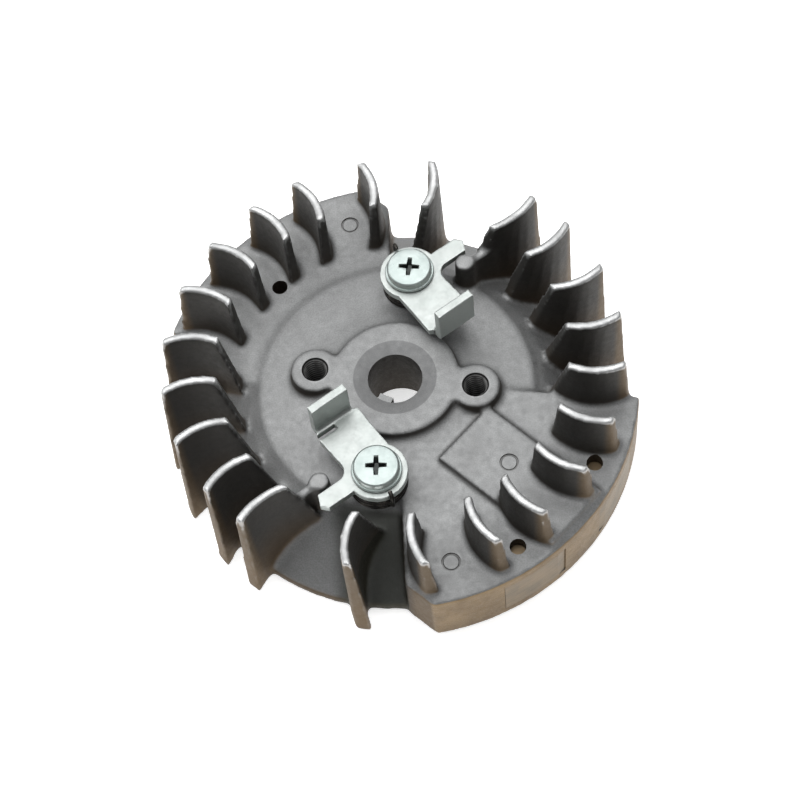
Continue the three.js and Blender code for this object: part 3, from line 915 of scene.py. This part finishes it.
def make_upright():
    """Faces that stand up: 1 where they are upright, 0 where they lie flat."""
    tree, start, end = group("upright faces", {"Lean From": 0.3, "Lean To": 0.75, "Breakup": 0.1},
                             ["Mask"])
    normal = add(tree, "ShaderNodeNewGeometry").outputs["Normal"]
    level = math_node(tree, "ABSOLUTE", add(tree, "ShaderNodeSeparateXYZ", {0: normal}).outputs["Z"])
    place = add(tree, "ShaderNodeTexCoord").outputs["Object"]
    cloud = noise(tree, place, 0.25 * PER_METRE, 3)
    uneven = math_node(tree, "MULTIPLY", math_node(tree, "SUBTRACT", cloud, 0.5), start["Breakup"])
    level = math_node(tree, "ADD", level, uneven)
    flat = ramp(tree, level, start["Lean From"], start["Lean To"])
    tree.links.new(math_node(tree, "SUBTRACT", 1, flat), end["Mask"])
    return tree


wear, upright = make_wear_and_corner_shade(), make_upright()
print("effects:", wear.name, upright.name)

# %% [markdown]
# ## The cast skin
#
# Blasted die-cast aluminium is a flat mid grey. The fan's upright faces get painted shade, much
# darker and browner towards the rear, and the corners get painted shade too. The tips of the
# blades get a painted highlight, and ridges are worn bright. The outside of the rim was turned
# on a lathe and has gone brown, and the bore and the nut's seat were cut too. A painted shadow
# lies beside the magnet sector, the thread grooves get painted shade, and the bore has a dark
# film. All of this is decided by where a point is and which way it faces, so the same
# material suits every side of the casting.

# %% Cast aluminium


def finish(name, **fixed):
    """Start a material and return its tree and its Principled shader."""
    material = bpy.data.materials.new(name)
    material.use_nodes = True
    shader = material.node_tree.nodes["Principled BSDF"]
    for label, value in fixed.items():
        shader.inputs[label.replace("_", " ")].default_value = value
    return material, material.node_tree, shader


def dress(piece, material):
    """Give a piece one material, in place of any slot that a cut left behind."""
    piece.data.materials.clear()
    piece.data.materials.append(material)


def bump(tree, shader, height, depth):
    """Give a shader fine relief, with its depth in millimetres."""
    made = add(tree, "ShaderNodeBump", {"Height": height, "Distance": depth * MM, "Strength": 1.0})
    tree.links.new(made.outputs["Normal"], shader.inputs["Normal"])


def cast_skin():
    """Grey skin, painted shade on upright faces, a painted highlight on the tips, a brown turned rim
    and a dark bore.
    """
    material, tree, shader = finish("cast_skin", Specular_IOR_Level=0.5)
    skin = use(tree, grain, Grain_Size=0.28)
    blotch = use(tree, patches, Patch_Size=9, Cover=0.5, Edge=0.25)["Mask"]
    worn = use(tree, wear, Ridge_From=0.25, Ridge_Full=0.8, Breakup=0.35)
    standing = use(tree, upright, Lean_From=0.25, Lean_To=0.8, Breakup=0.12)["Mask"]
    place = add(tree, "ShaderNodeTexCoord").outputs["Object"]
    parts = add(tree, "ShaderNodeSeparateXYZ", {0: place}).outputs
    height = math_node(tree, "MULTIPLY", parts["Z"], PER_METRE)
    radius = math_node(tree, "MULTIPLY", PER_METRE, math_node(tree, "SQRT", math_node(
        tree, "ADD", math_node(tree, "POWER", parts["X"], 2), math_node(tree, "POWER", parts["Y"], 2))))

    plain = mix(tree, skin["Speckle"], SKIN_DARK, SKIN_LIGHT)
    plain = mix(tree, math_node(tree, "MULTIPLY", blotch, 0.35), plain, SKIN_STAIN)
    # painted shade on upright faces: grey higher up, browner towards the rear, with the rim's brown
    # near the outside
    upright_shade = mix(tree, ramp(tree, height, 4, 20), SHADE_LOW_BROWN, SHADE_AND_LINE_GREY)
    upright_shade = mix(tree, ramp(tree, radius, 43.2, 44.8, 0, 0.6), upright_shade, RIM_DARK)
    colour = mix(tree, math_node(tree, "MULTIPLY", standing, 0.93), plain, upright_shade)
    # painted shade in the corners
    colour = mix(tree, math_node(tree, "MULTIPLY", worn["Hollow Shade"], 0.45), colour, SHADE_AND_LINE_GREY)

    # painted shadow on the valley floor between the last blade and the magnet sector
    spread = add(tree, "ShaderNodeVectorRotate", {
        "Vector": place, "Angle": math.radians(-SECTOR_SHADOW_ANGLE)}, rotation_type="Z_AXIS").outputs[0]
    spread = add(tree, "ShaderNodeSeparateXYZ", {0: spread}).outputs
    from_wall = math_node(tree, "MULTIPLY", spread["Y"], -PER_METRE)
    outwards = math_node(tree, "MULTIPLY", spread["X"], PER_METRE)
    sector_shadow = math_node(tree, "MULTIPLY", ramp(tree, from_wall, -0.4, 0), ramp(tree, from_wall, 15, 11))
    sector_shadow = math_node(tree, "MULTIPLY", sector_shadow, ramp(tree, height, 14.2, 13.2))
    sector_shadow = math_node(tree, "MULTIPLY", sector_shadow, ramp(tree, outwards, 21, 28, 0, 0.8))
    sector_shadow = math_node(tree, "MULTIPLY", sector_shadow, ramp(tree, radius, 43.4, 42.6))
    colour = mix(tree, sector_shadow, colour, SECTOR_SHADOW)

    flat = math_node(tree, "SUBTRACT", 1, standing)
    # painted highlight on the flat tops of the blades, joined below with worn ridges
    tip_highlight = ramp(tree, height, 26.2, 26.9)
    tip_highlight = math_node(tree, "MAXIMUM", tip_highlight, ramp(tree, height, 19.6, 20.1, 0, 0.12))
    tip_highlight = math_node(tree, "MULTIPLY", tip_highlight, flat)
    ridge = math_node(tree, "MULTIPLY", worn["Ridge"], ramp(tree, height, 22, 26.5, 0.08, 0.5))
    tip_highlight = math_node(tree, "MULTIPLY", tip_highlight, ramp(tree, blotch, 0.0, 1.0, 0.28, 0.6))
    bare_and_highlight = math_node(tree, "MAXIMUM", tip_highlight, ridge)
    colour = mix(tree, bare_and_highlight, colour, BARE_AND_HIGHLIGHT)

    rim = math_node(tree, "MULTIPLY", ramp(tree, radius, 47.2, 47.85), standing)
    lines = use(tree, lathe_lines, Spacing=0.22, Flat=0.0)
    varnish = mix(tree, blotch, RIM_DARK, RIM_LIGHT)
    varnish = mix(tree, math_node(tree, "MULTIPLY", lines["Mask"], 0.25), varnish, SHADE_AND_LINE_GREY)
    colour = mix(tree, rim, colour, varnish)

    seat = math_node(tree, "MULTIPLY", ramp(tree, radius, 8.35, 8.15), ramp(tree, height, 16.3, 16.6))
    colour = mix(tree, math_node(tree, "MULTIPLY", seat, 0.5), colour, SEAT)
    bore = math_node(tree, "MULTIPLY", ramp(tree, radius, 7.4, 7.2), standing)
    colour = mix(tree, math_node(tree, "MULTIPLY", bore, 0.8), colour, BORE_FILM)
    off_axis = math_node(tree, "SUBTRACT", math_node(tree, "ABSOLUTE", parts["X"]), PULLER_RADIUS * MM)
    from_hole = math_node(tree, "MULTIPLY", PER_METRE, math_node(tree, "SQRT", math_node(
        tree, "ADD", math_node(tree, "POWER", off_axis, 2), math_node(tree, "POWER", parts["Y"], 2))))
    thread = math_node(tree, "MULTIPLY", ramp(tree, from_hole, 2.85, 2.75),
                       ramp(tree, height, HUB_TOP, HUB_TOP - 0.1))
    # painted shade in the thread grooves of the puller holes
    cut = mix(tree, ramp(tree, from_hole, 2.2, 2.45), THREAD_TOP, THREAD_GROOVE_SHADE)
    colour = mix(tree, thread, colour, cut)
    tree.links.new(colour, shader.inputs["Base Color"])

    rough = ramp(tree, skin["Height"], 0.3, 0.7, 0.5, 0.68)
    rough = math_node(tree, "SUBTRACT", rough, math_node(tree, "MULTIPLY", bare_and_highlight, 0.25))
    rough = math_node(tree, "SUBTRACT", rough, math_node(tree, "MULTIPLY", rim, 0.12))
    tree.links.new(rough, shader.inputs["Roughness"])
    metal = math_node(tree, "MULTIPLY_ADD", bare_and_highlight, 0.15, 0.8)
    tree.links.new(metal, shader.inputs["Metallic"])
    relief = math_node(tree, "MULTIPLY", skin["Height"], math_node(tree, "SUBTRACT", 1, rim))
    relief = math_node(tree, "ADD", relief, math_node(tree, "MULTIPLY", lines["Height"], rim))
    bump(tree, shader, relief, 0.035)
    return material


SKIN_DARK = tone(124, 125, 125)
SKIN_LIGHT = tone(148, 149, 149)
SKIN_STAIN = tone(114, 114, 114)
# painted shade colours for upright faces and corners; the grey one also tints the rim's lathe lines
SHADE_LOW_BROWN = tone(84, 69, 50)
SHADE_AND_LINE_GREY = tone(64, 62, 59)
# painted shadow colour beside the magnet sector
SECTOR_SHADOW = tone(52, 54, 48)
SECTOR_SHADOW_ANGLE = -79.5
# colour of the painted highlight on blade tops, also of worn ridges
BARE_AND_HIGHLIGHT = tone(214, 215, 215)
RIM_DARK = tone(112, 92, 64)
RIM_LIGHT = tone(140, 119, 88)
SEAT = tone(78, 78, 79)
THREAD_TOP = tone(128, 128, 127)
# painted shade colour for the thread grooves
THREAD_GROOVE_SHADE = tone(24, 23, 22)
BORE_FILM = tone(48, 44, 39)
skin_material = cast_skin()
dress(casting, skin_material)
print("cast skin has", len(skin_material.node_tree.nodes), "nodes")

# %% [markdown]
# ## Plated steel
#
# The pawls, screws and washers are zinc plated and passivated to a cold, slightly green
# white. Under a soft light the flats look almost white, the plating is a little cloudy, the
# upright sides get a painted reflection, and painted shade keeps the corners and the cross recess dark.

# %% Zinc plating


def recess_shade_mask(tree):
    """Where the cross recess of either screw sinks below its head, for painted shade."""
    place = add(tree, "ShaderNodeTexCoord").outputs["Object"]
    parts = add(tree, "ShaderNodeSeparateXYZ", {0: place}).outputs
    off_axis = math_node(tree, "SUBTRACT", math_node(tree, "ABSOLUTE", parts["Y"]), PIVOT_RADIUS * MM)
    away = math_node(tree, "SQRT", math_node(tree, "ADD", math_node(tree, "POWER", parts["X"], 2),
                                             math_node(tree, "POWER", off_axis, 2)))
    inside = ramp(tree, away, 2.9 * MM, 2.6 * MM)
    deep = ramp(tree, parts["Z"], (HEAD_HIGH - 0.12) * MM, (HEAD_HIGH - 0.5) * MM)
    return math_node(tree, "MULTIPLY", inside, deep)


def zinc(name, light, dark, roughness):
    """Bright zinc with clouds in it, rubbed edges, a painted reflection on upright sides and painted
    shade in corners and the cross recess.
    """
    material, tree, shader = finish(name)
    fine = use(tree, grain, Grain_Size=0.5)
    cloud = use(tree, patches, Patch_Size=3.5, Cover=0.5, Edge=0.3)["Mask"]
    worn = use(tree, wear, Ridge_From=0.5, Ridge_Full=2.5, Breakup=0.5)
    standing = use(tree, upright, Lean_From=0.2, Lean_To=0.9, Breakup=0.1)["Mask"]
    colour = mix(tree, math_node(tree, "MULTIPLY", cloud, 0.5), light, dark)
    # painted reflection on the upright sides
    colour = mix(tree, math_node(tree, "MULTIPLY", standing, 0.85), colour, ZINC_SIDE_REFLECTION)
    colour = mix(tree, math_node(tree, "MULTIPLY", worn["Ridge"], 0.5), colour, ZINC_EDGE)
    # painted shade in the corners and in the cross recess
    colour = mix(tree, math_node(tree, "MULTIPLY", worn["Hollow Shade"], 0.6), colour, ZINC_SHADE)
    colour = mix(tree, math_node(tree, "MULTIPLY", recess_shade_mask(tree), 0.95), colour, ZINC_SHADE)
    tree.links.new(colour, shader.inputs["Base Color"])
    rough = ramp(tree, fine["Height"], 0.3, 0.7, roughness - 0.06, roughness + 0.1)
    tree.links.new(rough, shader.inputs["Roughness"])
    shader.inputs["Metallic"].default_value = 0.75
    bump(tree, shader, fine["Height"], 0.006)
    return material


# colour of the painted reflection on upright sides
ZINC_SIDE_REFLECTION = tone(196, 203, 199)
ZINC_EDGE = tone(206, 210, 208)
# painted shade colour for corners and the cross recess
ZINC_SHADE = tone(34, 36, 35)
plate_material = zinc("zinc_plate", tone(162, 166, 164), tone(138, 145, 142), 0.38)
screw_material = zinc("zinc_screw", tone(160, 168, 166), tone(120, 133, 130), 0.32)
for piece in pawls:
    dress(piece, plate_material)
for piece in screws + washers:
    dress(piece, screw_material)
print("plated pieces:", len(pawls) + len(screws) + len(washers))

# %% [markdown]
# ## Spring wire, pole laminations and the magnet
#
# Music wire is blackened by its heat treatment. The laminations are plain steel, turned
# together with the rim, so they carry the same tool lines and the same brown film. The magnet
# and the rivets are closed in, but a finish costs nothing and the parts may be taken out.

# %% Dark wire, lamination steel and magnet


def spring_wire():
    """Black heat scale with rubbed spots."""
    material, tree, shader = finish("spring_wire", Metallic=0.85)
    spots = use(tree, patches, Patch_Size=0.9, Cover=0.42, Edge=0.1)["Mask"]
    fine = use(tree, grain, Grain_Size=0.15)
    colour = mix(tree, math_node(tree, "MULTIPLY", spots, 0.5), tone(44, 42, 40), tone(96, 92, 86))
    tree.links.new(colour, shader.inputs["Base Color"])
    tree.links.new(ramp(tree, fine["Height"], 0.3, 0.7, 0.32, 0.5), shader.inputs["Roughness"])
    bump(tree, shader, fine["Height"], 0.006)
    return material


def lamination_steel():
    """Turned steel edge under a brown film."""
    material, tree, shader = finish("lamination_steel", Metallic=0.6)
    lines = use(tree, lathe_lines, Spacing=0.22, Flat=0.0)
    film = use(tree, patches, Patch_Size=5, Cover=0.55, Edge=0.25)["Mask"]
    colour = mix(tree, film, tone(108, 96, 78), tone(134, 116, 90))
    colour = mix(tree, math_node(tree, "MULTIPLY", lines["Mask"], 0.3), colour, tone(84, 78, 68))
    tree.links.new(colour, shader.inputs["Base Color"])
    tree.links.new(ramp(tree, lines["Height"], 0.3, 0.7, 0.36, 0.52), shader.inputs["Roughness"])
    bump(tree, shader, lines["Height"], 0.012)
    return material


def magnet_ferrite():
    """Pressed and fired ferrite: almost black, fine and dull."""
    material, tree, shader = finish("magnet_ferrite", Metallic=0.15)
    fine = use(tree, grain, Grain_Size=0.2)
    colour = mix(tree, fine["Speckle"], tone(38, 38, 40), tone(58, 58, 60))
    tree.links.new(colour, shader.inputs["Base Color"])
    tree.links.new(ramp(tree, fine["Height"], 0.3, 0.7, 0.6, 0.8), shader.inputs["Roughness"])
    bump(tree, shader, fine["Height"], 0.02)
    return material


wire_material, shoe_material, magnet_material = spring_wire(), lamination_steel(), magnet_ferrite()
for piece in springs:
    dress(piece, wire_material)
for name in magnet_nodes:
    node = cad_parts[name]
    chosen = magnet_material if "magnet" in name else shoe_material
    for place in node.material_slots:
        place.material = chosen
    if not node.material_slots:
        node.data.materials.append(chosen)
print("finished nodes:", len(magnet_nodes))

# %% [markdown]
# ## Floor and light
#
# A pale floor and one large soft lamp overhead keep the flats even, as on a product table.
# The sky is bright above and dimmer towards the horizon, so upright faces fall darker. The
# floor glows a little, which keeps it white where the wheel would shade it.

# %% Lay the floor and hang the lamps
FLOOR_SIZE = 1500
floor = new_piece("floor", [(-FLOOR_SIZE, -FLOOR_SIZE, 0), (FLOOR_SIZE, -FLOOR_SIZE, 0),
                            (FLOOR_SIZE, FLOOR_SIZE, 0), (-FLOOR_SIZE, FLOOR_SIZE, 0)], [[0, 1, 2, 3]])
floor_material, floor_tree, floor_shader = finish("floor", Roughness=0.9)
floor_shader.inputs["Base Color"].default_value = tone(246, 246, 246)
floor_shader.inputs["Emission Color"].default_value = (1, 1, 1, 1)
floor_shader.inputs["Emission Strength"].default_value = 0.6
floor.data.materials.append(floor_material)


def lamp(name, place, size, power):
    """A square soft lamp that points at the hub, in metres and watts."""
    light = bpy.data.objects.new(name, bpy.data.lights.new(name, "AREA"))
    light.data.size = size
    light.data.energy = power
    place = Vector(place)
    light.matrix_world = Matrix.Translation(place) @ place.to_track_quat("Z", "Y").to_matrix().to_4x4()
    bpy.context.collection.objects.link(light)
    return light


lamp("overhead", (-0.1, 0.2, 0.7), 0.8, 6.2)
lamp("side", (-0.65, 0.05, 0.35), 0.5, 1.1)

world = bpy.data.worlds.new("studio")
world.use_nodes = True
bpy.context.scene.world = world
sky = world.node_tree
direction = add(sky, "ShaderNodeTexCoord").outputs["Generated"]
up = add(sky, "ShaderNodeSeparateXYZ", {0: direction}).outputs["Z"]
brightness = ramp(sky, up, 0.0, 1.0, 0.2, 0.5)
background = sky.nodes["Background"]
sky.links.new(brightness, background.inputs["Strength"])
background.inputs["Color"].default_value = (1, 1, 1, 1)
bpy.context.scene.view_settings.view_transform = "Standard"
